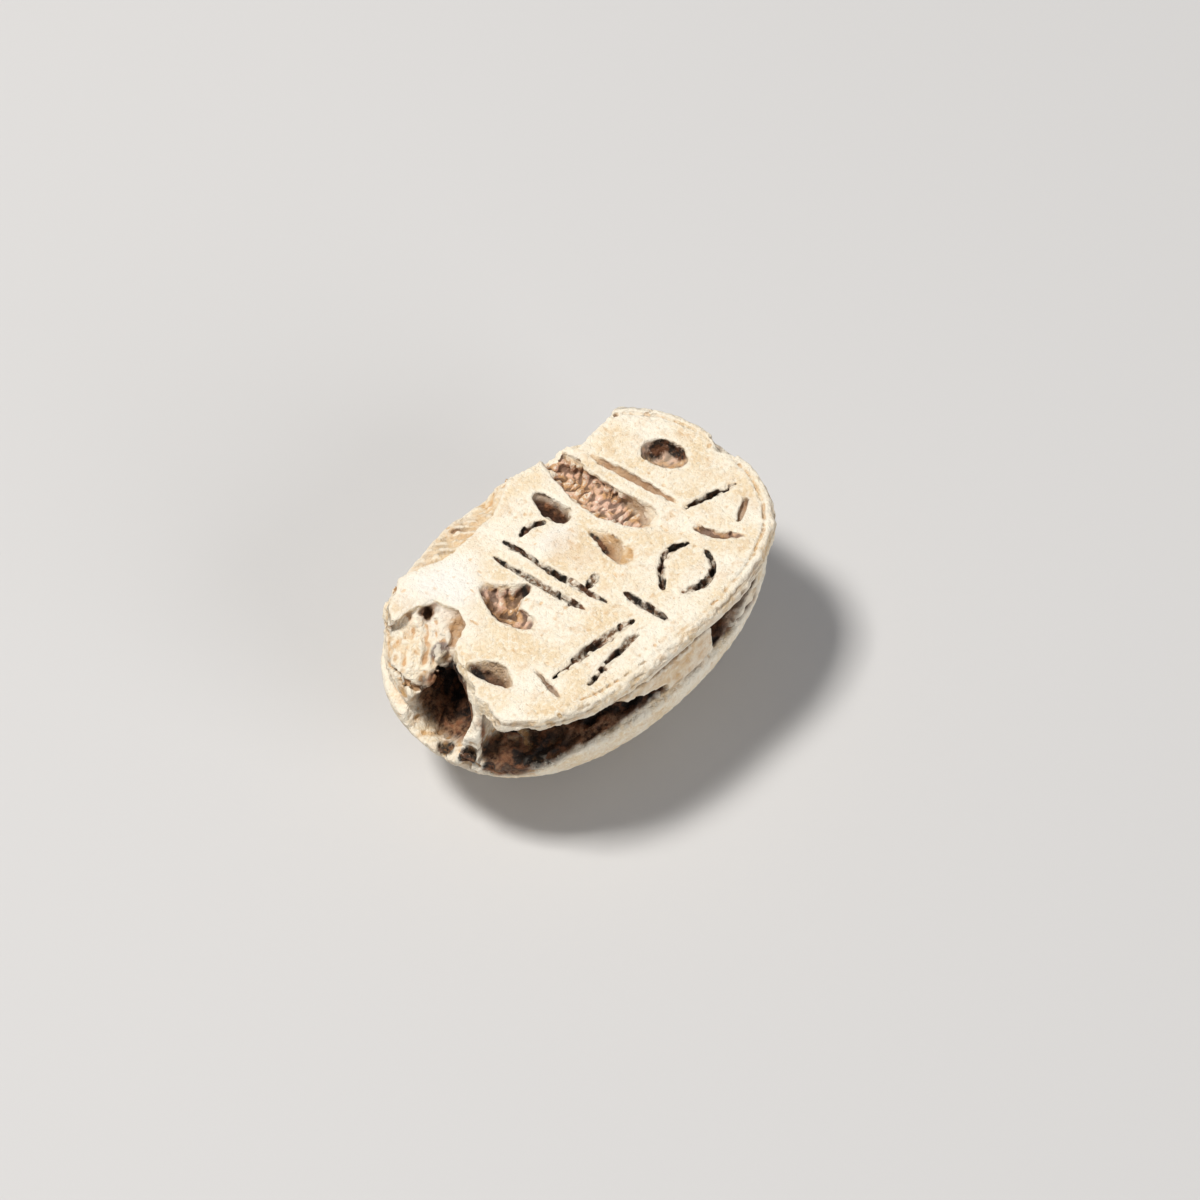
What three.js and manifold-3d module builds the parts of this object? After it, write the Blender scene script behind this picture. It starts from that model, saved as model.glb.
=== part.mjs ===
// A scarab amulet carved from one piece of steatite, lying on its domed back with the marked face
// of its base up. Millimetres, +Z up. The origin is on the ground under the middle of the piece, +X runs
// along the bore towards the beetle's head, and depths are measured down from the base's face.
import * as THREE from "three";
import { mergeVertices } from "three/addons/utils/BufferGeometryUtils.js";
import Module from "manifold-3d";

// ---- Driving dimensions
const HEIGHT = 7.4;
const BASE_HALF_LENGTH = 8.0;
const BASE_HALF_WIDTH = 5.42;
const BACK_HALF_LENGTH = 8.5;
const BACK_HALF_WIDTH = 5.7;
const BASE_THICKNESS = 0.62;
const RIM_DEPTH = 2.35; // depth of the line between the legs and the wing cases
const DOME_DEPTH = 2.72; // depth at which the back is widest
const DOME_FULLNESS = 1.78;
const REST_FLAT = 0.28; // how much of the dome's crown is worn flat
const BASE_BLUNTNESS = { head: 2.85, tail: 2.6 }; // 2 is an ellipse, more is squarer
const BACK_BLUNTNESS = { head: 2.12, tail: 2.28 };
const BACK_SHIFT = 0.1; // the back is carved a little to one side of the base
const BACK_ROUNDING = 0.08; // how far the upper edge of the back is rounded in
const GROOVE_DEPTH = 0.18; // the grooves over and under the legs
const LEG_SWELL = 0.16;
// The side, from the back up to the face: how far each line stands out from the base's outline, its
// depth, and how much of the base's bluntness it has.
const SIDE_LINES = [
  [LEG_SWELL - GROOVE_DEPTH, RIM_DEPTH + 0.1, 0.1],
  [LEG_SWELL - GROOVE_DEPTH, RIM_DEPTH - 0.04, 0.2],
  [LEG_SWELL, RIM_DEPTH - 0.14, 0.3],
  [0, BASE_THICKNESS + 0.24, 0.7],
  [-GROOVE_DEPTH, BASE_THICKNESS + 0.16, 0.9],
  [-GROOVE_DEPTH, BASE_THICKNESS + 0.04, 1],
  [0, BASE_THICKNESS - 0.06, 1],
  [-0.02, 0.3, 1],
  [-0.1, 0.1, 1],
  [-0.26, 0, 1],
];
const OUTLINE_SEGMENTS = 72;
const DOME_RINGS = 8;

const BORE_RADIUS = 1.1;
const BORE_DEPTH = 2.25;
const BORE_OFFSET = 0.1;

const BORDER_INSET = 0.42;
const BORDER_WIDTH = 0.16;
const BORDER_DEPTH = 0.14;
// The beetle's back: where its lines cross the middle, and how wide the grooves are.
const WING_END = -8.2;
const THORAX_LINE = 2.0;
const HEAD_LINE = 6.0;
const ARCH_BOW = 0.9;
const ARCH_HALF_WIDTH = 5.2;
const ARCH_STEPS = Array.from({ length: 9 }, (_, i) => i / 4 - 1);
const CHEEK = [[6.2, 1.0], [7.1, 1.5], [8.0, 2.0]];
const GROOVE_WIDTHS = { seam: 0.36, thorax: 0.42, head: 0.4, cheek: 0.34 };
// The bristled leg: notches at even steps, each a slanted bar of a square section.
const BRISTLES = { count: 8, first: 0.35, apart: 0.52, side: 4.65, depth: 1.08 };
const BRISTLE_BAR = { length: 1.5, width: 0.15, slope: [0.62, -0.7, 0.34] };
const CLEARANCE = 0.3; // how far a cut starts outside the surface that it opens
const BREAK_REACH = [9.4, 6.9]; // half sizes of an oval that lies clear outside the piece

const STONE = { color: 0xe6dcc6, roughness: 0.78, metalness: 0.0 };

// ---- Solids
const wasm = await Module();
wasm.setup();

// A closed three.js geometry as a solid.
function solid(geometry) {
  const bare = geometry.clone();
  bare.deleteAttribute("normal");
  bare.deleteAttribute("uv");
  const merged = mergeVertices(bare, 1e-4);
  return new wasm.Manifold(
    new wasm.Mesh({
      numProp: 3,
      vertProperties: new Float32Array(merged.attributes.position.array),
      triVerts: new Uint32Array(merged.index.array),
    }),
  );
}

// Moves each vertex of a geometry to where the function puts it.
function bend(geometry, place) {
  const points = geometry.attributes.position;
  const from = new THREE.Vector3();
  for (let i = 0; i < points.count; i++) {
    from.fromBufferAttribute(points, i);
    const to = place(from, i);
    points.setXYZ(i, to.x, to.y, to.z);
  }
  return geometry;
}

const lerp = THREE.MathUtils.lerp;

// The same uneven number between -1 and 1 for the same seed, for broken stone.
function uneven(seed) {
  const wave = Math.sin(seed * 12.9898 + 4.1) * 43758.5453;
  return 2 * (wave - Math.floor(wave)) - 1;
}

// The value at t, from 0 to 1, along a row of numbers.
function along(row, t) {
  const place = t * (row.length - 1);
  const i = Math.min(Math.floor(place), row.length - 2);
  return lerp(row[i], row[i + 1], place - i);
}

// ---- The oval
// A point of the blunt oval that every layer of the scarab follows.
function oval(bearing, halfLength, halfWidth, bluntness = BASE_BLUNTNESS) {
  const c = Math.cos(bearing);
  const s = Math.sin(bearing);
  const power = 2 / (c > 0 ? bluntness.head : bluntness.tail);
  return new THREE.Vector2(
    Math.sign(c) * halfLength * Math.abs(c) ** power,
    Math.sign(s) * halfWidth * Math.abs(s) ** power,
  );
}

// The bearing of the base's edge at a place along its length. Side is 1 or -1.
function bearingAt(x, side) {
  const share = Math.min(Math.abs(x) / BASE_HALF_LENGTH, 1);
  const bluntness = x > 0 ? BASE_BLUNTNESS.head : BASE_BLUNTNESS.tail;
  const corner = Math.acos(share ** (bluntness / 2));
  return side * (x > 0 ? corner : Math.PI - corner);
}

// A stack of ovals, each a row of half length, half width, depth and how much of the base's
// bluntness it has, from the back up to the face.
function ovalStack(layers) {
  const profile = layers.map((layer, i) => new THREE.Vector2(layer[0], i));
  const stack = new THREE.LatheGeometry(profile, OUTLINE_SEGMENTS);
  return bend(stack, (p, i) => {
    const [halfLength, halfWidth, depth, likeBase] = layers[i % layers.length];
    const turn = Math.floor(i / layers.length) / OUTLINE_SEGMENTS;
    const bluntness = {
      head: lerp(BACK_BLUNTNESS.head, BASE_BLUNTNESS.head, likeBase),
      tail: lerp(BACK_BLUNTNESS.tail, BASE_BLUNTNESS.tail, likeBase),
    };
    const edge = oval(turn * 2 * Math.PI, halfLength, halfWidth, bluntness);
    const shift = BACK_SHIFT * (1 - likeBase);
    return new THREE.Vector3(edge.x, edge.y + shift, HEIGHT - depth);
  });
}

// How deep the domed back lies under a place in the oval.
function backDepth(x, y) {
  const bluntness = x > 0 ? BACK_BLUNTNESS.head : BACK_BLUNTNESS.tail;
  const length = (Math.abs(x) / BACK_HALF_LENGTH) ** bluntness;
  const reach = length + (Math.abs(y - BACK_SHIFT) / BACK_HALF_WIDTH) ** bluntness;
  const radius = Math.min(reach ** (1 / bluntness), 1);
  const fall = (1 - radius ** DOME_FULLNESS) ** (1 / DOME_FULLNESS);
  return Math.min(DOME_DEPTH + (HEIGHT + REST_FLAT - DOME_DEPTH) * fall, HEIGHT);
}

// The body: the domed back, a band of legs between two fine grooves, and the base.
function makeBody() {
  const layers = [[0, 0, HEIGHT, 0]];
  const flatShare = (HEIGHT - DOME_DEPTH) / (HEIGHT - DOME_DEPTH + REST_FLAT);
  const flatTurn = Math.asin(Math.sqrt(1 - flatShare ** DOME_FULLNESS));
  for (let i = 0; i <= DOME_RINGS; i++) {
    const turn = lerp(flatTurn, Math.PI / 2, i / DOME_RINGS);
    const radius = Math.sin(turn) ** (2 / DOME_FULLNESS);
    const halfLength = radius * BACK_HALF_LENGTH;
    layers.push([halfLength, radius * BACK_HALF_WIDTH, backDepth(halfLength, BACK_SHIFT), 0]);
  }
  const backSize = [BACK_HALF_LENGTH - BACK_ROUNDING, BACK_HALF_WIDTH - BACK_ROUNDING];
  layers.push([...backSize, RIM_DEPTH + 0.22, 0]);
  for (const [out, depth, likeBase] of SIDE_LINES) {
    layers.push([BASE_HALF_LENGTH + out, BASE_HALF_WIDTH + out, depth, likeBase]);
  }
  layers.push([0, 0, 0, 1]);
  return solid(ovalStack(layers));
}

// A block that follows the side of the base between two bearings. Each size is a row of values
// from its start to its end: how deep its top and bottom lie, and how far in its two faces are.
function sideBlock({ from, to, top, bottom, outer, inner, steps, pinch = 0 }) {
  const block = new THREE.BoxGeometry(1, 1, 1, steps, 1, 1);
  const forward = from < to;
  return solid(
    bend(block, (p) => {
      const t = forward ? p.x + 0.5 : 0.5 - p.x;
      const low = 0.5 - p.z;
      const middle = (along(outer, t) + along(inner, t)) / 2;
      const face = lerp(along(outer, t), along(inner, t), p.y + 0.5);
      const inset = lerp(face, middle, low * pinch);
      const edge = oval(lerp(from, to, t), BASE_HALF_LENGTH - inset, BASE_HALF_WIDTH - inset);
      const depth = lerp(along(top, t), along(bottom, t), low);
      return new THREE.Vector3(edge.x, edge.y, HEIGHT - depth);
    }),
  );
}

// ---- Cuts in the face
// A groove along a smooth line: straight walls that close in to a narrow floor, shallow at its ends.
function stroke({ line, width, depth, floor = 0.45, ends = 0.35, steps = 7 }) {
  const curve = new THREE.CatmullRomCurve3(line.map(([x, y]) => new THREE.Vector3(x, y, 0)));
  const groove = new THREE.BoxGeometry(1, 1, 1, steps, 1, 2);
  return solid(
    bend(groove, (p) => {
      const t = p.x + 0.5;
      const middle = curve.getPointAt(t);
      const ahead = curve.getTangentAt(t);
      const swell = lerp(ends, 1, Math.sin(Math.PI * t) ** 0.5);
      const reach = p.y * width * swell * (p.z < 0 ? floor : 1);
      const height = p.z > 0.25 ? CLEARANCE : p.z < -0.25 ? -depth * swell : 0;
      return new THREE.Vector3(
        middle.x - ahead.y * reach,
        middle.y + ahead.x * reach,
        HEIGHT + height,
      );
    }),
  );
}

// A bowl inside a smooth closed outline. Its deepest point is the focus, and the share of the
// outline that its floor keeps says how steep its walls are.
function hollow({ outline, focus, depth, spread = 0.7, shelf = 0.8, corners = 14 }) {
  const ring = outline.map(([x, y]) => new THREE.Vector3(x, y, 0));
  const curve = new THREE.CatmullRomCurve3(ring, true, "catmullrom", 0.6);
  const bowl = new THREE.CylinderGeometry(1, 1, 1, corners, 2);
  bowl.rotateX(Math.PI / 2);
  const deepest = new THREE.Vector3(focus[0], focus[1], 0);
  return solid(
    bend(bowl, (p) => {
      const turn = -Math.atan2(p.y, p.x) / (2 * Math.PI);
      const onRing = Math.hypot(p.x, p.y) > 0.5;
      const share = onRing ? (p.z < -0.25 ? spread : 1) : 0;
      const place = deepest.clone().lerp(curve.getPointAt((turn + 1) % 1), share);
      const sunk = onRing ? depth * shelf : depth;
      place.z = HEIGHT + (p.z > 0.25 ? CLEARANCE : p.z < -0.25 ? -sunk : 0);
      return place;
    }),
  );
}

// ---- Broken edges
// Takes away everything outside a line across the face. Each row of the line is a point, the depth
// of the broken surface where it meets that line, and its depth at the outside of the piece.
function breakAway(line, { splits = 3, jag = 0.07, lean = 0.12 }) {
  const steps = (line.length - 1) * splits;
  const row = (k) => line.map((point) => point[k]);
  const block = new THREE.BoxGeometry(1, 1, 1, steps, 2, 1);
  return solid(
    bend(block, (p) => {
      const t = p.x + 0.5;
      const out = 0.5 - p.y;
      const low = p.z < 0;
      const seed = Math.round(t * steps) + line.length * 7;
      const corner = Math.round(t * steps) % splits === 0;
      const x = along(row(0), t);
      const y = along(row(1), t);
      const far = Math.atan2(y, x);
      const radius = Math.hypot(x, y) + (corner ? 0 : jag * uneven(seed)) + (low ? lean : 0);
      const limit = Math.hypot(BREAK_REACH[0] * Math.cos(far), BREAK_REACH[1] * Math.sin(far));
      const reach = lerp(radius, limit, out);
      const rough = jag * uneven(seed * 3 + Math.round(out * 2));
      const depth = lerp(along(row(2), t), along(row(3), t), out) + rough;
      return new THREE.Vector3(
        Math.cos(far) * reach,
        Math.sin(far) * reach,
        HEIGHT + (low ? -depth : CLEARANCE),
      );
    }),
  );
}

// A rough ball, for small pits and chips.
function chip(x, y, depth, radii, seed) {
  const ball = new THREE.SphereGeometry(1, 9, 6);
  const lumps = mergeVertices(ball.deleteAttribute("normal").deleteAttribute("uv"), 1e-4);
  return solid(
    bend(lumps, (p, i) => {
      const size = 1 + 0.12 * uneven(seed + i);
      return new THREE.Vector3(
        x + p.x * radii[0] * size,
        y + p.y * radii[1] * size,
        HEIGHT - depth + p.z * radii[2] * size,
      );
    }),
  );
}

// ---- The parts of the carving
// The lengthwise bore for a cord or a pin.
function makeBore() {
  const drill = new THREE.CylinderGeometry(BORE_RADIUS, BORE_RADIUS, 3 * BACK_HALF_LENGTH, 20);
  drill.rotateZ(Math.PI / 2);
  drill.translate(0, BORE_OFFSET, HEIGHT - BORE_DEPTH);
  return solid(drill);
}

// A space between two legs. Side is 1 or -1, and the space runs from one place along the base to
// another, with rows for how deep its floor lies and how far in it goes.
function legSpace(side, [tail, head], { top, bottom, inner }) {
  return sideBlock({
    from: bearingAt(tail, side),
    to: bearingAt(head, side),
    top,
    bottom,
    outer: [-CLEARANCE * 3, -CLEARANCE * 3],
    inner,
    steps: 8,
  });
}

// The spaces before and behind the middle legs, which stay flush.
function legSpaces() {
  const under = BASE_THICKNESS + 0.1;
  const before = { top: [under, under + 0.1], bottom: [2.5, 2.1, 1.1], inner: [0.9, 1.0, 0.7] };
  const behind = {
    top: [under, under, under, under + 0.15, 1.85],
    bottom: [2.85, 2.8, 2.65, 2.45, 2.3],
    inner: [1.9, 1.8, 1.6, 1.1, 0.7],
  };
  const shallow = { top: [1.9, 1.6], bottom: [2.3, 2.2], inner: [0.5, 0.5] };
  return [
    legSpace(-1, [1.7, 5.0], before),
    legSpace(1, [1.7, 5.0], before),
    legSpace(-1, [-7.7, -0.9], behind),
    legSpace(1, [-6.6, -4.9], shallow),
  ];
}

// Slanted notches across the bristled leg that shows beyond the broken edge.
function bristles() {
  const { count, first, apart, side, depth } = BRISTLES;
  const { length, width, slope } = BRISTLE_BAR;
  const heading = new THREE.Vector3(...slope).normalize();
  const turned = new THREE.Quaternion().setFromUnitVectors(new THREE.Vector3(1, 0, 0), heading);
  return Array.from({ length: count }, (_, i) => {
    const notch = new THREE.BoxGeometry(length, width, width);
    notch.rotateX(Math.PI / 4);
    notch.applyQuaternion(turned);
    notch.translate(first - apart * i, side, HEIGHT - depth);
    return solid(notch);
  });
}

// The fine line inside the edge of the face, where the edge is whole.
function borderLine() {
  const turns = [bearingAt(-4.9, -1), bearingAt(6.2, 1)];
  return sideBlock({
    from: turns[0],
    to: turns[1],
    top: [-CLEARANCE, -CLEARANCE],
    bottom: [BORDER_DEPTH, BORDER_DEPTH],
    outer: [BORDER_INSET - BORDER_WIDTH / 2, BORDER_INSET - BORDER_WIDTH / 2],
    inner: [BORDER_INSET + BORDER_WIDTH / 2, BORDER_INSET + BORDER_WIDTH / 2],
    pinch: 0.3,
    steps: 40,
  });
}

// Rows of plain strokes and hollows, which spell nothing.
function faceMarks() {
  const strokes = [
    { line: [[3.95, 3.2], [4.25, 1.4], [4.6, -0.8]], width: 0.4, depth: 0.26, floor: 0.75 },
    { line: [[4.55, -1.15], [5.7, -1.45], [6.85, -1.82]], width: 0.34, depth: 0.5 },
    { line: [[4.12, -1.95], [4.45, -2.8], [5.2, -3.75]], width: 0.36, depth: 0.24, floor: 0.7 },
    { line: [[5.6, -3.0], [6.5, -2.6]], width: 0.16, depth: 0.22 },
    { line: [[-1.3, 3.0], [-1.05, 0.4], [-0.62, -2.2]], width: 0.3, depth: 0.5 },
    { line: [[-2.1, 2.75], [-1.85, 0.6], [-1.4, -1.85]], width: 0.3, depth: 0.5 },
    { line: [[-0.8, 2.4], [-0.1, 2.5], [0.5, 2.2]], width: 0.34, depth: 0.3 },
    { line: [[-0.7, -1.05], [0.1, -0.9]], width: 0.32, depth: 0.45 },
    { line: [[1.15, -3.2], [1.9, -2.45], [2.8, -2.12], [3.55, -2.4]], width: 0.36, depth: 0.5 },
    { line: [[1.6, -3.75], [2.5, -4.15], [3.3, -3.8], [3.75, -3.0]], width: 0.34, depth: 0.48 },
    { line: [[0.12, -2.15], [0.2, -3.2], [0.35, -4.35]], width: 0.32, depth: 0.5 },
    { line: [[-0.5, -3.4], [-2.4, -3.1], [-4.6, -3.05]], width: 0.42, depth: 0.4 },
    { line: [[-0.45, -3.85], [-2.3, -3.95], [-4.0, -4.2]], width: 0.3, depth: 0.42 },
    { line: [[-4.7, -2.2], [-4.85, -3.0], [-5.0, -3.9]], width: 0.3, depth: 0.14, floor: 0.7 },
  ];
  const hollows = [
    { outline: [[5.3, 1.9], [6.2, 2.0], [6.65, 1.2], [6.5, 0.3], [5.8, 0.25], [5.35, 0.9]],
      focus: [6.15, 1.6], depth: 0.85, spread: 0.72, shelf: 0.55 },
    { outline: [[2.4, 4.3], [3.4, 4.3], [3.4, 2.6], [3.5, 1.2], [3.85, -0.2], [3.4, -0.95],
        [2.7, -0.6], [2.1, 0.6], [1.95, 2.0], [2.1, 3.2]],
      focus: [2.9, 1.9], depth: 0.85, spread: 0.78, shelf: 0.75, corners: 20 },
    { outline: [[1.12, 3.6], [1.45, 2.9], [1.5, 1.9], [0.95, 1.55], [0.6, 2.2], [0.75, 3.0]],
      focus: [0.9, 2.4], depth: 1.0, spread: 0.5, shelf: 0.7 },
    { outline: [[1.35, 0.95], [1.8, 0.0], [1.85, -1.2], [1.1, -1.6], [0.9, -0.8], [1.1, 0.2]],
      focus: [1.1, -0.2], depth: 0.65, spread: 0.45, shelf: 0.55 },
    { outline: [[-3.35, 2.0], [-2.6, 1.1], [-1.95, 0.45], [-3.0, 0.1], [-3.1, -1.0], [-3.8, -0.6],
        [-4.05, 0.6]],
      focus: [-3.3, 0.8], depth: 0.75, spread: 0.6, shelf: 0.7, corners: 18 },
    { outline: [[-6.4, -0.25], [-5.6, -0.7], [-5.35, -1.5], [-5.9, -2.3], [-6.3, -1.4]],
      focus: [-6.0, -1.2], depth: 0.8, spread: 0.55, shelf: 0.7 },
  ];
  return [...strokes.map(stroke), ...hollows.map(hollow)];
}

// A groove across the domed back through a few places, as deep as half its width.
function backGroove(places, width) {
  const route = new THREE.CatmullRomCurve3(
    places.map(([x, y]) => new THREE.Vector3(x, y, HEIGHT - backDepth(x, y))),
  );
  const half = width / 2;
  const corners = [[half, 0], [0, half], [-half, 0], [0, -half]];
  const section = new THREE.Shape(corners.map(([x, y]) => new THREE.Vector2(x, y)));
  return solid(new THREE.ExtrudeGeometry(section, { steps: 18, extrudePath: route }));
}

// An arched row of places from one side of the back to the other, bowed along the length.
function archAcross(middle, bow) {
  return ARCH_STEPS.map((t) => [middle + bow * t * t, BACK_SHIFT + ARCH_HALF_WIDTH * t]);
}

// The beetle's back: the seam of the wing cases, the thorax line, the head and its cheeks.
function backLines() {
  const seam = ARCH_STEPS.map((t) => [lerp(WING_END, THORAX_LINE, (t + 1) / 2), BACK_SHIFT]);
  return [
    backGroove(seam, GROOVE_WIDTHS.seam),
    backGroove(archAcross(THORAX_LINE, ARCH_BOW), GROOVE_WIDTHS.thorax),
    backGroove(archAcross(HEAD_LINE, -ARCH_BOW), GROOVE_WIDTHS.head),
    backGroove(CHEEK, GROOVE_WIDTHS.cheek),
    backGroove(CHEEK.map(([x, y]) => [x, -y]), GROOVE_WIDTHS.cheek),
  ];
}

// What time has taken: the edge over the bore and along the far side, and smaller losses.
function losses() {
  const longEdge = [
    [6.6, 4.4, 0.9, 1.8],
    [6.1, 4.02, 1.0, 2.1],
    [5.0, 3.88, 1.1, 2.3],
    [3.85, 3.75, 1.1, 2.3],
    [3.65, 4.08, 1.1, 2.2],
    [2.6, 4.05, 1.0, 2.0],
    [2.45, 4.35, 0.9, 1.8],
    [0.95, 4.62, 0.9, 2.4],
    [0.3, 4.25, 1.0, 3.2],
    [-0.4, 3.95, 0.9, 2.4],
    [-1.0, 3.85, 0.8, 2.0],
    [-3.0, 3.65, 0.8, 1.9],
    [-4.3, 4.1, 0.6, 2.0],
    [-5.1, 4.32, 0.5, 1.8],
    [-6.35, 3.75, 0.35, 1.4],
    [-6.85, 3.05, 0.2, 0.9],
    [-5.9, 2.9, 0.15, 0.8],
    [-5.05, 2.75, 0.2, 0.85],
    [-4.65, 1.7, 0.3, 1.1],
    [-5.05, 0.95, 0.6, 1.5],
    [-6.1, 0.58, 1.1, 1.9],
    [-6.25, 0.3, 2.6, 3.2],
    [-6.5, -0.4, 3.0, 3.5],
    [-6.85, -1.2, 2.9, 3.5],
    [-7.1, -1.5, 1.0, 3.2],
    [-6.95, -2.0, 0.6, 2.6],
    [-7.1, -2.65, 0.35, 1.8],
    [-7.2, -3.1, 0.3, 1.2],
    [-7.9, -3.5, 0.3, 1.0],
  ];
  const headEdge = [
    [8.4, 0.5, 0.4, 0.5],
    [7.65, 0.4, 0.45, 0.55],
    [7.6, -0.3, 0.45, 0.55],
    [7.65, -0.9, 0.45, 0.55],
    [8.4, -1.0, 0.4, 0.5],
  ];
  return [
    breakAway(longEdge, { splits: 2 }),
    breakAway(headEdge.reverse(), { splits: 1, jag: 0.02, lean: 0.05 }),
    chip(-7.3, 0.0, 2.4, [1.4, 1.25, 1.15], 5),
    chip(-6.4, 1.05, 1.8, [0.85, 0.7, 0.75], 8),
    chip(-5.45, 2.62, 0.45, [0.3, 0.22, 0.35], 4),
    chip(-6.75, -3.7, 1.15, [0.8, 0.85, 0.8], 6),
    chip(-8.25, -0.75, 3.35, [0.22, 0.24, 0.3], 3),
    chip(-7.95, -1.75, 3.35, [0.3, 0.36, 0.35], 17),
  ];
}

// ---- Assembly
function carve() {
  const cuts = [
    makeBore(),
    ...legSpaces(),
    ...losses(),
    ...bristles(),
    borderLine(),
    ...faceMarks(),
    ...backLines(),
  ];
  return cuts.reduce((piece, cut) => piece.subtract(cut), makeBody());
}

function meshOf(piece, name) {
  const { vertProperties, triVerts } = piece.getMesh();
  const geometry = new THREE.BufferGeometry();
  geometry.setAttribute("position", new THREE.BufferAttribute(vertProperties, 3));
  geometry.setIndex(new THREE.BufferAttribute(triVerts, 1));
  const mesh = new THREE.Mesh(geometry, new THREE.MeshStandardMaterial(STONE));
  mesh.name = name;
  const middle = new THREE.Box3().setFromObject(mesh).getCenter(new THREE.Vector3());
  mesh.position.set(-middle.x, -middle.y, 0);
  return mesh;
}

const amulet = new THREE.Group();
amulet.add(meshOf(carve(), "scarab"));
export default amulet;
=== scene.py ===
"""A scarab amulet of carved steatite, lying on its domed back with the marked face of its base up."""

import math

import bmesh
import bpy
import numpy as np
from mathutils import Matrix, Vector
from mathutils.bvhtree import BVHTree


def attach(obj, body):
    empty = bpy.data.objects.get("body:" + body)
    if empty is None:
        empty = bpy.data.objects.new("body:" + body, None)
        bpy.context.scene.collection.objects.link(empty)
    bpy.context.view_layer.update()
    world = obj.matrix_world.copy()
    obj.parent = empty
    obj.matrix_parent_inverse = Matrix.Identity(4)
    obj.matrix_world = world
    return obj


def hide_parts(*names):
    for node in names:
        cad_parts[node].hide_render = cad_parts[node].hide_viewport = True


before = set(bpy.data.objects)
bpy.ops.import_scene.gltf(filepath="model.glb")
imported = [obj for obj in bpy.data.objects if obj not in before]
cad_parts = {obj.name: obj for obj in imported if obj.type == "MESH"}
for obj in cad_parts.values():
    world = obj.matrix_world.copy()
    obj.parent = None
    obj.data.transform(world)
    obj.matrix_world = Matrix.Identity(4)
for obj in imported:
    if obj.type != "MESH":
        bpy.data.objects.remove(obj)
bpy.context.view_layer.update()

# ---- Sizes, in millimetres. The carving is laid out about the middle of the marked face, with
# +X along the bore towards the head, and depths below the face negative.
MM = 0.001
FACE_MIDDLE = np.array([0.013, -0.1, 7.4])
BASE_HALF = (8.0, 5.42)  # half the length and width of the base's outline
HEAD_BLUNTNESS, TAIL_BLUNTNESS = 2.85, 2.6  # 2 is an ellipse, more is squarer
BORDER_INSET = 0.42
BORE_MIDDLE = (0.1, -2.25)  # in Y and Z
PLATE_LINE = 0.74  # depth of the groove between the base plate and the legs
WING_LINE = 2.3  # depth of the line between the legs and the wing cases
GRAIN = 0.066  # the fine mesh's spacing
MOST_TRIANGLES = 194_000
REACH = 1.1  # how far away stone still shades a cut
GRAIN_HEIGHT = 0.14  # how high the finish's grain stands in the bump


# ---- Uneven stone
def lattice(cells, seed):
    """The same number between 0 and 1 for the same corner of a lattice."""
    mixed = cells[..., 0] * 73856093 ^ cells[..., 1] * 19349663 ^ cells[..., 2] * 83492791
    mixed = (mixed ^ seed * 2654435761) & 0xFFFFFFFF
    mixed = (mixed ^ mixed >> 15) * 2246822519 & 0xFFFFFFFF
    mixed = (mixed ^ mixed >> 13) * 3266489917 & 0xFFFFFFFF
    return (mixed ^ mixed >> 16) / 0xFFFFFFFF


def uneven(points, size, seed, octaves=2):
    """Smooth noise, mostly between -1 and 1, with lumps about size across. Size may differ by axis."""
    total, weight, share = np.zeros(len(points)), 0.0, 1.0
    for octave in range(octaves):
        place = points / (np.asarray(size) * 0.5**octave) + 17.3 * (octave + 1)
        cell = np.floor(place).astype(np.int64)
        part = place - cell
        part = part * part * (3 - 2 * part)
        value = 0.0
        for corner in range(8):
            step = np.array([corner & 1, corner >> 1 & 1, corner >> 2 & 1])
            closeness = np.where(step, part, 1 - part).prod(axis=1)
            value = value + closeness * lattice(cell + step, seed + octave)
        total += share * (2 * value - 1)
        weight += share
        share *= 0.55
    return total / weight * 1.4


def ridges(points, size, seed, octaves=2):
    """Sharp crests between rounded hollows, from 0 to 1."""
    return 1 - np.abs(np.clip(uneven(points, size, seed, octaves), -1, 1))


def rise(value, low, high):
    """0 below low, 1 above high and smooth between them."""
    t = np.clip((value - low) / (high - low), 0, 1)
    return t * t * (3 - 2 * t)


def near(points, middle, radii, soft=0.4):
    """1 inside an ellipsoid, fading to 0 just outside it."""
    middle, radii = np.asarray(middle, float), np.asarray(radii, float)
    reach = np.linalg.norm((points[:, : len(middle)] - middle) / radii, axis=1)
    return 1 - rise(reach, 1 - soft, 1 + soft)


def by_line(points, line, width):
    """1 on a line through a few places, fading to 0 at its width."""
    line = np.asarray(line, float)
    flat = points[:, : line.shape[1]]
    best = np.full(len(points), 1e9)
    for a, b in zip(line[:-1], line[1:]):
        t = np.clip((flat - a) @ (b - a) / ((b - a) @ (b - a)), 0, 1)
        best = np.minimum(best, np.linalg.norm(flat - a - t[:, None] * (b - a), axis=1))
    return 1 - rise(best / width, 0.35, 1)


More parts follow.
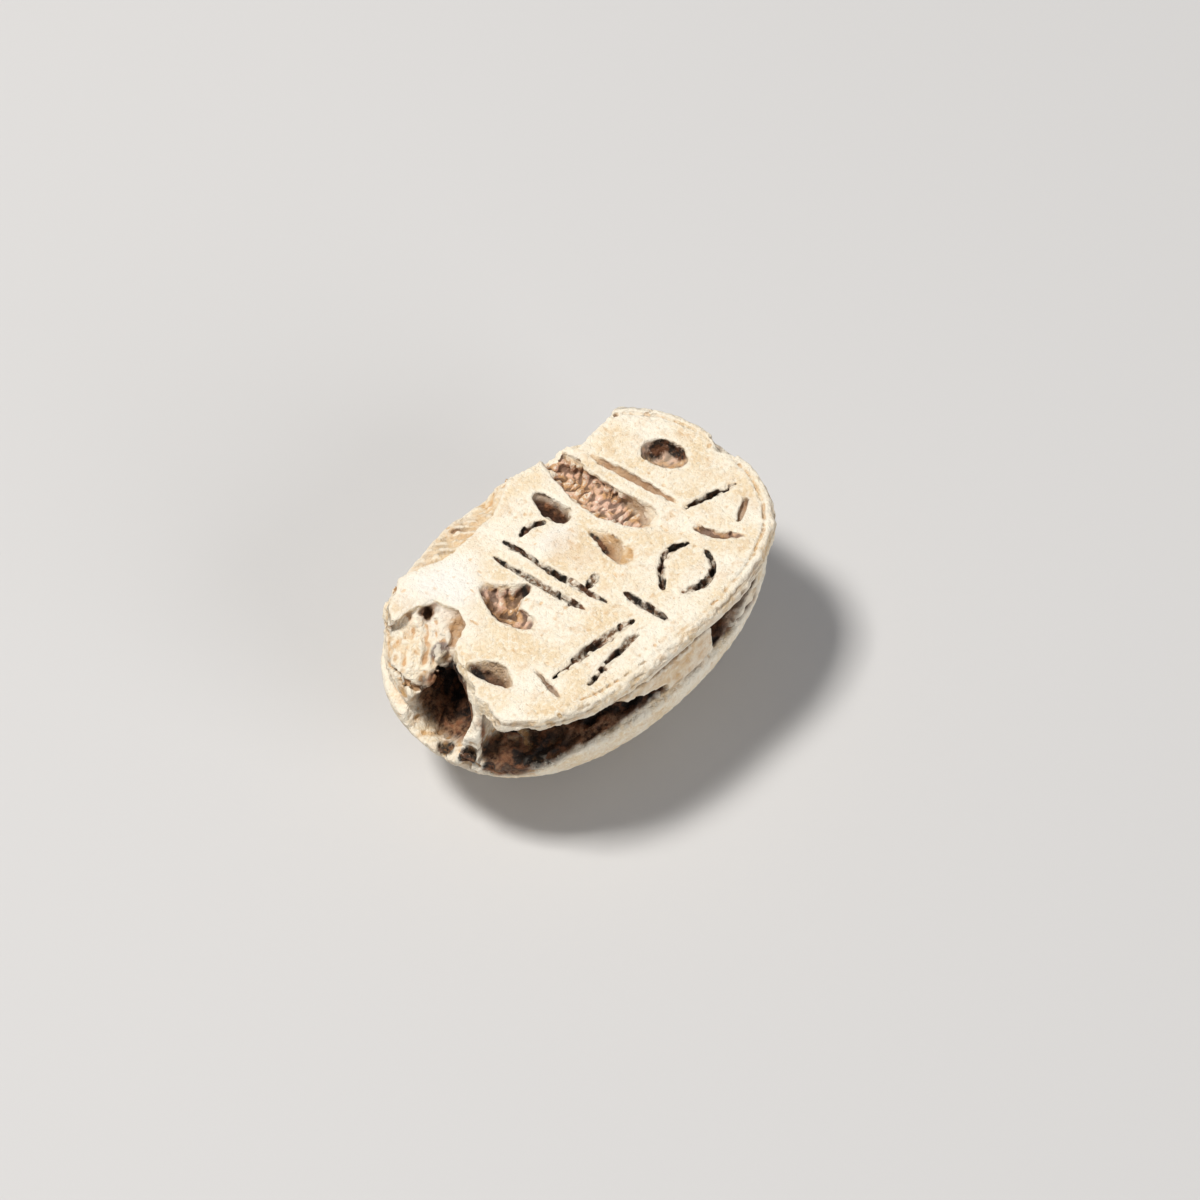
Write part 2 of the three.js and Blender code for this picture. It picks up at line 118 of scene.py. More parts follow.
# ---- The stone's mesh
class Stone:
    """The points of the fine mesh, in millimetres about the middle of the face."""

    def __init__(self, mesh):
        self.mesh = mesh
        count = len(mesh.vertices)
        flat = np.empty(count * 3)
        mesh.vertices.foreach_get("co", flat)
        self.points = flat.reshape(-1, 3)
        ends = np.empty(len(mesh.edges) * 2, dtype=np.int32)
        mesh.edges.foreach_get("vertices", ends)
        self.edges = ends.reshape(-1, 2)
        self.valence = np.bincount(ends, minlength=count)

    def store(self):
        """Puts the points back into the mesh."""
        self.mesh.vertices.foreach_set("co", self.points.ravel())
        self.mesh.update()

    def normals(self):
        self.store()
        flat = np.empty(len(self.points) * 3, dtype=np.float32)
        self.mesh.vertex_normals.foreach_get("vector", flat)
        return flat.reshape(-1, 3).astype(float)

    def spread(self, values):
        """Each point's values replaced by the mean of its neighbours'."""
        a, b = self.edges.T
        columns = values.reshape(len(values), -1)
        total = np.empty_like(columns)
        for k in range(columns.shape[1]):
            total[:, k] = np.bincount(a, columns[b, k], len(values))
            total[:, k] += np.bincount(b, columns[a, k], len(values))
        return (total / self.valence[:, None]).reshape(values.shape)

    def smooth(self, share, times):
        """Evens the surface out where share is above 0, without thinning it."""
        share = np.asarray(share)[..., None]
        for _ in range(times):
            self.points += 0.52 * share * (self.spread(self.points) - self.points)
            self.points -= 0.5 * share * (self.spread(self.points) - self.points)

    def wear(self, share, times):
        """Rounds the surface where share is above 0."""
        share = np.asarray(share)[..., None]
        for _ in range(times):
            self.points += 0.5 * share * (self.spread(self.points) - self.points)

    def push(self, amount):
        """Moves each point along its normal."""
        self.points += self.normals() * amount[:, None]


def modified(mesh, kind, **settings):
    """The mesh after one modifier."""
    holder = bpy.data.objects.new("holder", mesh)
    bpy.context.scene.collection.objects.link(holder)
    modifier = holder.modifiers.new(kind, kind)
    for key, value in settings.items():
        setattr(modifier, key, value)
    graph = bpy.context.evaluated_depsgraph_get()
    made = bpy.data.meshes.new_from_object(holder.evaluated_get(graph))
    bpy.data.objects.remove(holder)
    return made


def fine_copy(node):
    """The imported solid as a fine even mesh, with the lumps that stand out of its broken places."""
    shape = bmesh.new()
    shape.from_mesh(node.data)
    bmesh.ops.remove_doubles(shape, verts=shape.verts, dist=1e-6)
    bmesh.ops.scale(shape, vec=(1 / MM,) * 3, verts=shape.verts)
    bmesh.ops.translate(shape, vec=-Vector(FACE_MIDDLE), verts=shape.verts)
    for place, size, turn in LUMPS:
        matrix = Matrix.LocRotScale(Vector(place), Matrix.Rotation(turn, 3, "Z").to_quaternion(), size)
        bmesh.ops.create_icosphere(shape, subdivisions=3, radius=1, matrix=matrix)
    mesh = bpy.data.meshes.new("stone")
    shape.to_mesh(mesh)
    shape.free()
    return modified(mesh, "REMESH", mode="VOXEL", voxel_size=GRAIN, adaptivity=0)


# ---- Where the strokes, stains, painted shade and losses lie
# Plain strokes cut in the face: the line each follows and its half width. They are painted near-black,
# partly for the dark residue in them and partly as painted shade.
BLACKENED_STROKES = [
    ([(4.55, -1.15), (5.7, -1.45), (6.85, -1.82)], 0.2),
    ([(-1.3, 3.0), (-1.05, 0.4), (-0.62, -2.2)], 0.19),
    ([(-2.1, 2.75), (-1.85, 0.6), (-1.4, -1.85)], 0.19),
    ([(-0.8, 2.4), (-0.1, 2.5), (0.5, 2.2)], 0.2),
    ([(-0.7, -1.05), (0.1, -0.9)], 0.2),
    ([(1.15, -3.2), (1.9, -2.45), (2.8, -2.12), (3.55, -2.4)], 0.22),
    ([(1.6, -3.75), (2.5, -4.15), (3.3, -3.8), (3.75, -3.0)], 0.21),
    ([(0.12, -2.15), (0.2, -3.2), (0.35, -4.35)], 0.2),
    ([(-0.5, -3.4), (-2.4, -3.1), (-4.6, -3.05)], 0.22),
    ([(-0.45, -3.85), (-2.3, -3.95), (-4.0, -4.2)], 0.19),
]
# The darkest corners of the wider hollows, painted near-black as painted shade: middle and half sizes.
SHADED_CORNERS = [
    ((6.2, 1.75, -0.4), (0.5, 0.24, 0.4)),
    ((6.55, 1.0, -0.4), (0.16, 0.7, 0.4)),
    ((0.75, 2.9, -0.5), (0.22, 0.8, 0.6)),
    ((1.3, 0.2, -0.4), (0.12, 0.55, 0.5)),
    ((-6.15, -0.75, -0.5), (0.2, 0.5, 0.5)),
    ((-6.1, -1.5, -0.5), (0.14, 0.4, 0.5)),
    ((-2.2, 0.6, -0.3), (0.25, 0.2, 0.3)),
    ((-3.85, 0.9, -0.3), (0.1, 0.7, 0.4)),
]
# Where the hollows' floors are stained brown: middle, half sizes and strength.
BROWN_FLOORS = [
    ((0.95, 2.5, -0.6), (0.6, 1.2, 0.6), 1.0),
    ((-3.75, 1.1, -0.6), (0.4, 0.9, 0.6), 0.6),
    ((-6.0, -1.2, -0.7), (0.45, 1.0, 0.5), 0.9),
    ((-6.9, -2.8, -2.95), (0.9, 1.2, 0.6), 1.0),
    ((-5.25, 2.65, -0.45), (0.6, 0.34, 0.4), 0.9),
]
# Small masses left standing in the breaks: place, half sizes, turn.
LUMPS = [
    ((-6.2, 1.26, -0.78), (0.45, 0.27, 0.24), 0.6),
    ((-5.9, 2.0, -0.72), (0.6, 0.18, 0.18), 0.9),
    ((-5.5, 1.5, -0.6), (0.6, 0.15, 0.16), 0.7),
    ((-7.15, 1.45, -1.25), (0.3, 0.4, 0.2), 0.2),
    ((-3.4, -5.0, -2.85), (0.6, 0.3, 0.2), 0.0),
]
# Cracks and the finest stroke: the line each follows, its width and depth.
CRACKS = [
    ([(5.6, -3.0, -0.08), (6.5, -2.6, -0.08)], 0.17, 0.16),
    (
        [(-7.5, 2.8, -1.7), (-7.7, 2.3, -1.3), (-7.82, 1.73, -1.1), (-7.72, 1.2, -1.28), (-7.4, 0.8, -1.5)],
        0.15,
        0.2,
    ),
    ([(-7.8, -0.3, -3.2), (-7.3, 0.2, -3.4), (-6.6, 0.6, -3.3)], 0.12, 0.1),
]
# Small pits in the worn tail and in the legs along the side: middle, half size and depth.
PITS = [
    ((-7.95, -0.71, -3.25), 0.26, 0.26),
    ((-8.04, -1.9, -2.65), 0.3, 0.24),
    ((-7.7, -2.7, -2.9), 0.2, 0.14),
    ((2.3, -5.5, -1.2), 0.22, 0.16),
    ((2.0, -5.5, -1.75), 0.16, 0.14),
]


# ---- Where things are on the stone
def back_grooves(points):
    """1 in and beside the grooves of the beetle's back."""
    tail, thorax, head = -8.2, 2.0, 6.0
    middle, half_width, bow = 0.1, 5.2, 0.9
    steps = np.linspace(-1, 1, 9)
    routes = [
        [(tail, middle), (thorax, middle)],
        [(thorax + bow * t * t, middle + half_width * t) for t in steps],
        [(head - bow * t * t, middle + half_width * t) for t in steps],
        [(6.2, 1.0), (8.0, 2.0)],
        [(6.2, -1.0), (8.0, -2.0)],
    ]
    return np.maximum.reduce([by_line(points, route, 0.5) for route in routes])


def inset(points):
    """How far each point lies inside the outline of the base."""
    blunt = np.where(points[:, 0] > 0, HEAD_BLUNTNESS, TAIL_BLUNTNESS)
    low, high = np.full(len(points), -1.5), np.full(len(points), 5.3)
    for _ in range(14):
        middle = (low + high) / 2
        x, y = (np.abs(points[:, k]) / (BASE_HALF[k] - middle) for k in (0, 1))
        outside = x**blunt + y**blunt > 1
        high = np.where(outside, middle, high)
        low = np.where(outside, low, middle)
    return low


def bristle_lines():
    """The slanted hairs of the leg that shows along the broken side."""
    slope = np.array([0.62, -0.7, 0.34]) * 0.62
    middles = [np.array([0.35 - 0.52 * k, 4.65, -1.08]) for k in range(8)]
    return [(middle - slope, middle + slope) for middle in middles]


def places(points):
    """Shares of the surface that are treated alike, by name."""
    depth, inward = -points[:, 2], inset(points)
    spots = {
        "face": rise(0.02 - depth, -0.06, 0.0),
        "side": (1 - rise(inward, 0.2, 0.4)) * rise(depth, 0.0, 0.06) * (1 - rise(depth, 0.6, 0.8)),
        "dome": rise(depth, 2.5, 2.75),
        "leg": near(points, (-1.5, 4.9, -1.1), (2.6, 1.0, 0.8), 0.2),
    }
    whole = 1 - rise(points[:, 1] + 0.35 * points[:, 0], 4.4, 5.4) * (points[:, 0] < 6.2)
    whole = whole * rise(points[:, 0], -5.4, -4.9)
    by_border = 1 - rise(np.abs(inward - BORDER_INSET), 0.03, 0.11)
    spots["border"] = by_border * whole * rise(depth, -0.1, 0) * (depth < 0.3)
    space = rise(inward, 0.12, 0.3) * rise(depth, 0.72, 0.85) * (1 - rise(depth, 2.75, 2.95))
    space = space * rise(-points[:, 1], 1.6, 2.2) * (1 - rise(inward, 2.4, 2.8))
    spots["space"] = space * (1 - rise(points[:, 0], 4.7, 5.3))
    scoop = near(points, (2.75, 2.0), (0.95, 2.9), 0.2)
    wedge = near(points, (-3.05, 0.5), (1.25, 1.7), 0.2)
    spots["scoop"] = scoop * rise(depth, 0.12, 0.3) * (1 - rise(depth, 1.1, 1.4))
    spots["wedge"] = wedge * rise(depth, 0.12, 0.3) * (1 - rise(depth, 1.1, 1.4))
    shallow = rise(depth, 0.06, 0.16) * (depth < 0.6)
    spots["gouge"] = by_line(points, [(3.95, 3.4), (4.25, 1.4), (4.6, -0.8)], 0.5) * shallow
    spots["tail"] = near(points, (-6.6, 2.4, -1.3), (2.1, 2.4, 1.3), 0.25) * rise(depth, 0.15, 0.4)
    spots["edge"] = rise(points[:, 1], 3.3, 3.7) * rise(depth, 0.3, 0.6) * (1 - rise(depth, 2.2, 2.6))
    spots["edge"] *= 1 - spots["leg"]
    spots["mouth"] = near(points, (-7.2, -1.6, -2.9), (1.9, 3.4, 1.1), 0.3) * rise(depth, 1.3, 1.9)
    bore = np.hypot(*(points[:, 1:] - BORE_MIDDLE).T)
    spots["bore"] = (1 - rise(bore, 1.18, 1.32)) * (1 - rise(np.abs(points[:, 0]), 7.6, 8.2))
    spots["lining"] = (1 - rise(bore, 1.3, 1.6)) * (1 - rise(np.abs(points[:, 0]), 7.1, 8.0))
    return spots


def sculpt(stone):
    """Wear, broken stone and tool marks, from the broad forms down to the grain."""
    spots = places(stone.points)
    grooves = back_grooves(stone.points) * spots["dome"]
    stone.smooth(spots["dome"] * (1 - grooves) * 0.95, 70)
    stone.smooth(grooves * 0.3, 6)
    flank = rise(-stone.points[:, 2], 0.7, 0.9) * rise(-stone.points[:, 1], 2.0, 3.0)
    stone.wear(0.9 * flank * (1 - spots["dome"]) * (inset(stone.points) < 0.6), 12)
    stone.wear(0.5, 1)
    stone.wear(0.8 * near(stone.points, (-6.2, 2.7, -0.6), (1.2, 0.9, 0.7), 0.4), 30)
    cuts = cut_share(stone)
    p = stone.points.copy()

    # The edges of the cuts waver, as they do in stone cut by hand.
    waver = np.stack([uneven(p, 0.55, seed) for seed in (13, 14)], axis=1)
    stone.points[:, :2] += 0.05 * waver * (p[:, 2:] > -1.2)

    # Broad unevenness of a piece worn in the hand.
    stone.push(0.035 * uneven(p, 2.2, 11) * (1 - cuts) + 0.015 * uneven(p, 0.8, 12))

    # The rough floors of the cuts.
    floors = cuts * (1 - spots["bore"])
    stone.push(floors * (0.07 * uneven(p, 0.34, 21, 2) - 0.02))
    stone.push(spots["scoop"] * -0.3 * (ridges(p, (0.5, 0.3, 0.7), 31) - 0.68))
    stone.push(spots["wedge"] * -0.2 * (ridges(p, (0.55, 0.33, 0.6), 33) - 0.68))
    stone.push(0.1 * crumbs(p) * stroke_share(p))
    for ends in bristle_lines():
        stone.push(-0.06 * spots["leg"] * by_line(p, ends, 0.13))
    stone.push(spots["space"] * 0.2 * (ridges(p, (1.1, 0.5, 0.4), 35) - 0.68))
    stone.push(0.13 * near(p, (-5.5, 2.62, -0.5), (0.6, 0.5, 0.5)) * uneven(p, 0.3, 37))

    # Fibrous splinters of the breaks, which run along the stone's bedding.
    turned = p @ np.array([[0.8, -0.6, 0.0], [0.6, 0.8, 0.0], [0.0, 0.0, 1.0]])
    stone.push(spots["tail"] * 0.2 * (ridges(turned, (1.6, 0.36, 0.4), 41) - 0.66))
    stone.push(spots["edge"] * 0.16 * (ridges(p, (1.2, 0.4, 0.3), 43) - 0.66))
    stone.push(spots["mouth"] * 0.2 * (ridges(p, (0.55, 0.6, 0.3), 45) - 0.66))

    # Thin beds of stone that show along the side of the base.
    stone.push(spots["side"] * 0.035 * uneven(p, (3.0, 3.0, 0.2), 51, 1))

    # Hairline cracks, the finest stroke, small pits and the grain of the skin.
    for line, width, deep in CRACKS:
        stone.push(-deep * crack(p, line, width))
    for middle, size, deep in PITS:
        stone.push(-deep * near(p, middle, (size,) * 3, 0.6))
    pits = rise(uneven(p, 0.26, 71, 1), 0.86, 1.2)
    stone.push(-0.07 * pits * (1 - spots["bore"]))
    stone.push(0.02 * uneven(p, 0.17, 81, 1) + 0.022 * (ridges(p, 0.45, 82) - 0.68))
    stone.store()


def crack(points, line, width):
    """1 in a crack. The line wavers a little."""
    return by_line(points + 0.07 * uneven(points, 0.4, 61)[:, None], line, width)


def stroke_share(points):
    """1 in the strokes painted near-black, for residue and as painted shade, from wall to wall."""
    share = np.maximum.reduce([by_line(points, line, width * 1.8) for line, width in BLACKENED_STROKES])
    return share * (points[:, 2] > -0.75) * rise(-points[:, 2], 0.03, 0.1)


def crumbs(points):
    """1 on the crumbs of stone and earth that lie in the strokes, in patches."""
    grains = rise(uneven(points, (0.21, 0.21, 0.9), 91, 1), -0.3, 0.1)
    return grains * rise(uneven(points, (1.0, 1.0, 3.0), 93, 1), -1.1, -0.4)


def cut_share(stone):
    """How far each point is below the worn outside: 1 in a cut or a break, 0 on the skin."""
    depth = -stone.points[:, 2]
    below = np.minimum(depth, inset(stone.points) + 0.05)
    return rise(below, 0.05, 0.13) * (1 - rise(depth, 2.4, 2.7))


# ---- What the surface is like, point by point
def openness(stone, rays=18):
    """How much of the sky each point sees past the stone within reach."""
    normals = stone.normals()
    tree = BVHTree.FromPolygons(
        stone.points.tolist(), [tuple(face.vertices) for face in stone.mesh.polygons]
    )
    turn = math.pi * (3 - math.sqrt(5))
    heights = [1 - (k + 0.5) / rays * 0.92 for k in range(rays)]
    fan = np.array(
        [
            (math.cos(turn * k) * math.sqrt(1 - h * h), math.sin(turn * k) * math.sqrt(1 - h * h), h)
            for k, h in enumerate(heights)
        ]
    )
    helper = np.where(np.abs(normals[:, 2:]) < 0.9, [[0.0, 0.0, 1.0]], [[1.0, 0.0, 0.0]])
    across = np.cross(helper, normals)
    across /= np.linalg.norm(across, axis=1, keepdims=True)
    along = np.cross(normals, across)
    starts = (stone.points + 0.03 * normals).tolist()
    seen = np.zeros(len(starts))
    for x, y, z in fan:
        ways = (x * across + y * along + z * normals).tolist()
        seen += [tree.ray_cast(a, b, REACH)[0] is None for a, b in zip(starts, ways)]
    return seen / rays


def store_value(stone, name, values):
    """Keeps one value from 0 to 1 for each point, for the finish to read."""
    layer = stone.mesh.attributes.new(name, "FLOAT", "POINT")
    layer.data.foreach_set("value", np.clip(values, 0, 1).astype(np.float32))


def describe(stone):
    """Writes what the finish follows: shade, crest, cut, where the stains lie and where shade is painted.
    """
    p = stone.points
    spots = places(p)
    seen = stone.spread(stone.spread(openness(stone)))
    normals = stone.normals()
    even = p
    for _ in range(5):
        even = stone.spread(even)
    crest = ((p - even) * normals).sum(axis=1)
    cuts = cut_share(stone) * (1 - 0.8 * spots["border"])
    store_value(stone, "shade", 1 - seen)
    store_value(stone, "crest", 0.5 + crest * 11)
    store_value(stone, "cut", cuts)
    pink = np.maximum(spots["scoop"], spots["wedge"])
    carved = p[:, 2] > -1.3
    bent = by_line(p, [(4.12, -1.95), (4.45, -2.8), (5.2, -3.75)], 0.45) * cuts * carved
    faint = by_line(p, [(-4.7, -2.2), (-4.85, -3.0), (-5.0, -3.9)], 0.4) * carved
    faint = faint * rise(-p[:, 2], 0.03, 0.1)
    mound = near(p, (6.0, 1.3), (0.9, 1.2), 0.3) * rise(-p[:, 2], 0.06, 0.2) * carved
    store_value(stone, "pink", np.maximum.reduce([pink, bent, 0.8 * faint, 0.8 * mound]))
    ochre = np.maximum.reduce(
        [
            0.65 * spots["gouge"],
            near(p, (1.55, -0.7), (0.55, 1.2), 0.4) * cuts * carved,
            near(p, (-4.9, 1.6, -0.8), (0.5, 1.4, 0.6), 0.5) * cuts,
            0.5 * near(p, (0.2, 0.6), (0.7, 0.8), 0.6) * spots["face"],
            0.7 * near(p, (-5.9, -1.6), (0.4, 0.8), 0.4) * cuts * carved,
            0.8 * near(p, (-7.2, 2.8, -1.3), (0.5, 0.6, 0.5), 0.5),
            0.8 * near(p, (-7.9, 1.4, -2.0), (0.4, 0.6, 0.6), 0.5),
            0.6 * near(p, (-7.6, -1.2, -3.5), (0.7, 1.2, 0.5), 0.5),
            0.6 * near(p, (-0.5, -5.3, -1.5), (4.0, 1.0, 0.9), 0.3),
            0.5 * near(p, (6.5, -2.6, -0.1), (0.4, 0.5, 0.3), 0.5),
            0.35 * spots["side"] * rise(-p[:, 1], 0, 3),
            0.5 * spots["leg"],
        ]
    )
    store_value(stone, "ochre", ochre)
    # Whitish patches, kept to faces turned upwards: partly chalky stone, partly painted highlight.
    chalk_and_highlight = np.maximum(near(p, (-4.5, 2.8), (1.6, 1.3), 0.6), 0.8 * near(p, (0.2, 1.3), (0.8, 0.6), 0.6))
    store_value(stone, "chalk_and_highlight", chalk_and_highlight * rise(normals[:, 2], 0.3, 0.7))
    store_value(stone, "slate", near(p, (-6.2, 1.26, -0.78), (0.46, 0.3, 0.3), 0.12))
    store_value(stone, "beds", spots["side"])
    store_value(stone, "broken", np.maximum.reduce([spots["tail"], spots["edge"], spots["mouth"]]))
    sunken = rise(-p[:, 2], 0.06, 0.16)
    brown = np.maximum.reduce(
        [
            spots["space"] * (1 - 0.35 * rise(p[:, 0], 2.4, 3.4)),
            spots["lining"],
            *(strength * near(p, middle, radii, 0.3) * sunken for middle, radii, strength in BROWN_FLOORS),
        ]
    )
    store_value(stone, "brown", brown)
    # Near-black paint: residue in the strokes, and painted shade in the hollows' corners, in the pits, deep
    # in the bore, in the shut-in part of the recess under the base and in the deep recess by the tail.
    soot_and_shade_share = np.maximum.reduce(
        [stroke_share(p)]
        + [0.9 * near(p, middle, radii, 0.5) for middle, radii in SHADED_CORNERS]
        + [near(p, middle, (size * 1.25,) * 3, 0.4) for middle, size, _ in PITS]
        + [spots["lining"] * rise(p[:, 0], -7.0, -5.8)]
        + [spots["space"] * rise(seen, 0.8, 0.45) * (0.85 - 0.6 * rise(p[:, 0], 2.4, 3.4))]
        + [0.8 * near(p, (-6.2, -3.6, -2.2), (1.6, 1.2, 0.8), 0.4) * rise(-p[:, 2], 1.2, 1.6)]
    )
    store_value(stone, "soot_and_shade", soot_and_shade_share * rise(-p[:, 2], 0.04, 0.12))
    store_value(stone, "crumb", crumbs(p) * stroke_share(p))
    hairs = np.maximum.reduce([by_line(p, ends, 0.16) for ends in bristle_lines()])
    depth, inward = -p[:, 2], inset(p)
    # Umber along the groove under the base plate and the line above the wing cases is painted shade.
    beside = rise(-p[:, 1], 1.5, 2.5) * (inward < 0.5)
    under = (1 - rise(np.abs(depth - PLATE_LINE), 0.05, 0.14)) * beside
    below = (1 - rise(np.abs(depth - WING_LINE), 0.06, 0.16)) * beside
    lines = np.maximum.reduce(
        [0.6 * hairs * spots["leg"], 0.12 * spots["border"], 0.75 * under, 0.9 * below]
        + [1.3 * crack(p, line, width) for line, width, _ in CRACKS]
    )
    store_value(stone, "line", lines)


# ---- Shaders
class Socket:
    """A shader socket: arithmetic on it adds Math nodes."""

    def __init__(self, paint, out):
        self.paint, self.out = paint, out

    def _math(self, operation, a, b=0.0, clamp=False):
        settings = {"operation": operation, "use_clamp": clamp}
        return self.paint.node("ShaderNodeMath", settings, {0: a, 1: b})

    def __add__(self, other):
        return self._math("ADD", self, other)

    __radd__ = __add__

    def __sub__(self, other):
        return self._math("SUBTRACT", self, other)

    def __rsub__(self, other):
        return self._math("SUBTRACT", other, self)

    def __mul__(self, other):
        return self._math("MULTIPLY", self, other)

    __rmul__ = __mul__

    def most(self, other):
        """The larger of the two."""
        return self._math("MAXIMUM", self, other)

    def kept(self):
        """Held between 0 and 1."""
        return self._math("ADD", self, 0.0, clamp=True)

    def between(self, low, high):
        """0 at low, 1 at high and smooth between them."""
        settings = {"interpolation_type": "SMOOTHSTEP"}
        return self.paint.node(
            "ShaderNodeMapRange", settings, {"Value": self, "From Min": low, "From Max": high}
        )


class Paint:
    """A material's node tree."""

    def __init__(self, name):
        self.material = bpy.data.materials.new(name)
        self.material.use_nodes = True
        self.tree = self.material.node_tree
        self.tree.nodes.clear()
        self.place = self.node("ShaderNodeTexCoord", {}, {}, "Object")

    def node(self, kind, settings, inputs, output=0):
        """Any node, with its settings made first, and one of its outputs."""
        made = self.tree.nodes.new(kind)
        for key, value in settings.items():
            setattr(made, key, value)
        for key, value in inputs.items():
            if isinstance(value, Socket):
                self.tree.links.new(value.out, made.inputs[key])
            else:
                made.inputs[key].default_value = value
        return Socket(self, made.outputs[output]) if len(made.outputs) else None

    def value(self, name):
        """One of the mesh's own values."""
        return self.node("ShaderNodeAttribute", {"attribute_name": name}, {}, "Fac")

    def noise(self, size, detail=3.0, rough=0.55, place=None):
        """Cloudy unevenness with lumps about size millimetres across."""
        inputs = {"Vector": place or self.place, "Scale": 1 / (size * MM), "Detail": detail}
        return self.node("ShaderNodeTexNoise", {}, {**inputs, "Roughness": rough})

    def stretched(self, scale):
        """Object coordinates scaled by axis."""
        return self.node("ShaderNodeMapping", {}, {"Vector": self.place, "Scale": scale})

    def mix(self, share, a, b):
        """Colour a with b laid over it."""
        a, b = (value if isinstance(value, Socket) else (*value, 1.0) for value in (a, b))
        return self.node("ShaderNodeMix", {"data_type": "RGBA"}, {0: share, 6: a, 7: b}, 2)

    def finish(self, **inputs):
        """The material, with a Principled shader's sockets by name."""
        named = {key.replace("_", " "): value for key, value in inputs.items()}
        shader = self.node("ShaderNodeBsdfPrincipled", {}, named)
        self.node("ShaderNodeOutputMaterial", {}, {"Surface": shader})
        return self.material


CREAM = (0.82, 0.66, 0.44)
IVORY = (0.92, 0.84, 0.69)
CHALK_AND_HIGHLIGHT = (0.90, 0.86, 0.79)
SLATE = (0.19, 0.16, 0.16)
OCHRE = (0.62, 0.36, 0.14)
GOLD = (0.60, 0.33, 0.14)
BLUSH = (0.76, 0.49, 0.36)
RUST = (0.24, 0.095, 0.040)
EARTH = (0.34, 0.19, 0.10)
UMBER = (0.060, 0.024, 0.012)
SOOT_AND_SHADE_BLACK = (0.010, 0.006, 0.004)


